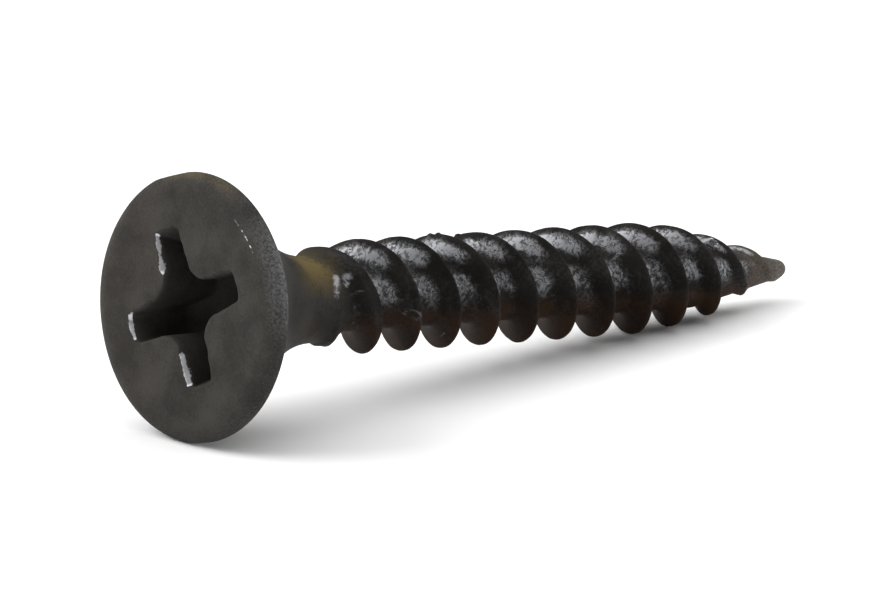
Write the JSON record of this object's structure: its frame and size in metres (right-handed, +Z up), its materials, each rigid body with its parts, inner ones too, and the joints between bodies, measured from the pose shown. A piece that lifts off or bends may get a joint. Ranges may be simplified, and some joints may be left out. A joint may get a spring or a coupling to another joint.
{
  "type": "drywall screw",
  "caption": "Black drywall screw with a bugle head, a cross recess, a coarse thread and a sharp point, lying on its side.",
  "frame": {"origin": "middle of the bounding box's base, on the surface that the screw lies on", "axes": "+X from the head towards the point, level; +Z up, away from that surface; the screw's own axis is in the XZ plane and dips by 7.07 degrees towards the point"},
  "size_m": [0.0256, 0.008, 0.008],
  "materials": {
    "coated_steel": "black phosphate coat with a waxy sheen, worn to bare steel on sharp edges"
  },
  "bodies": {
    "root": {"screw": "coated_steel"}
  },
  "joints": []
}
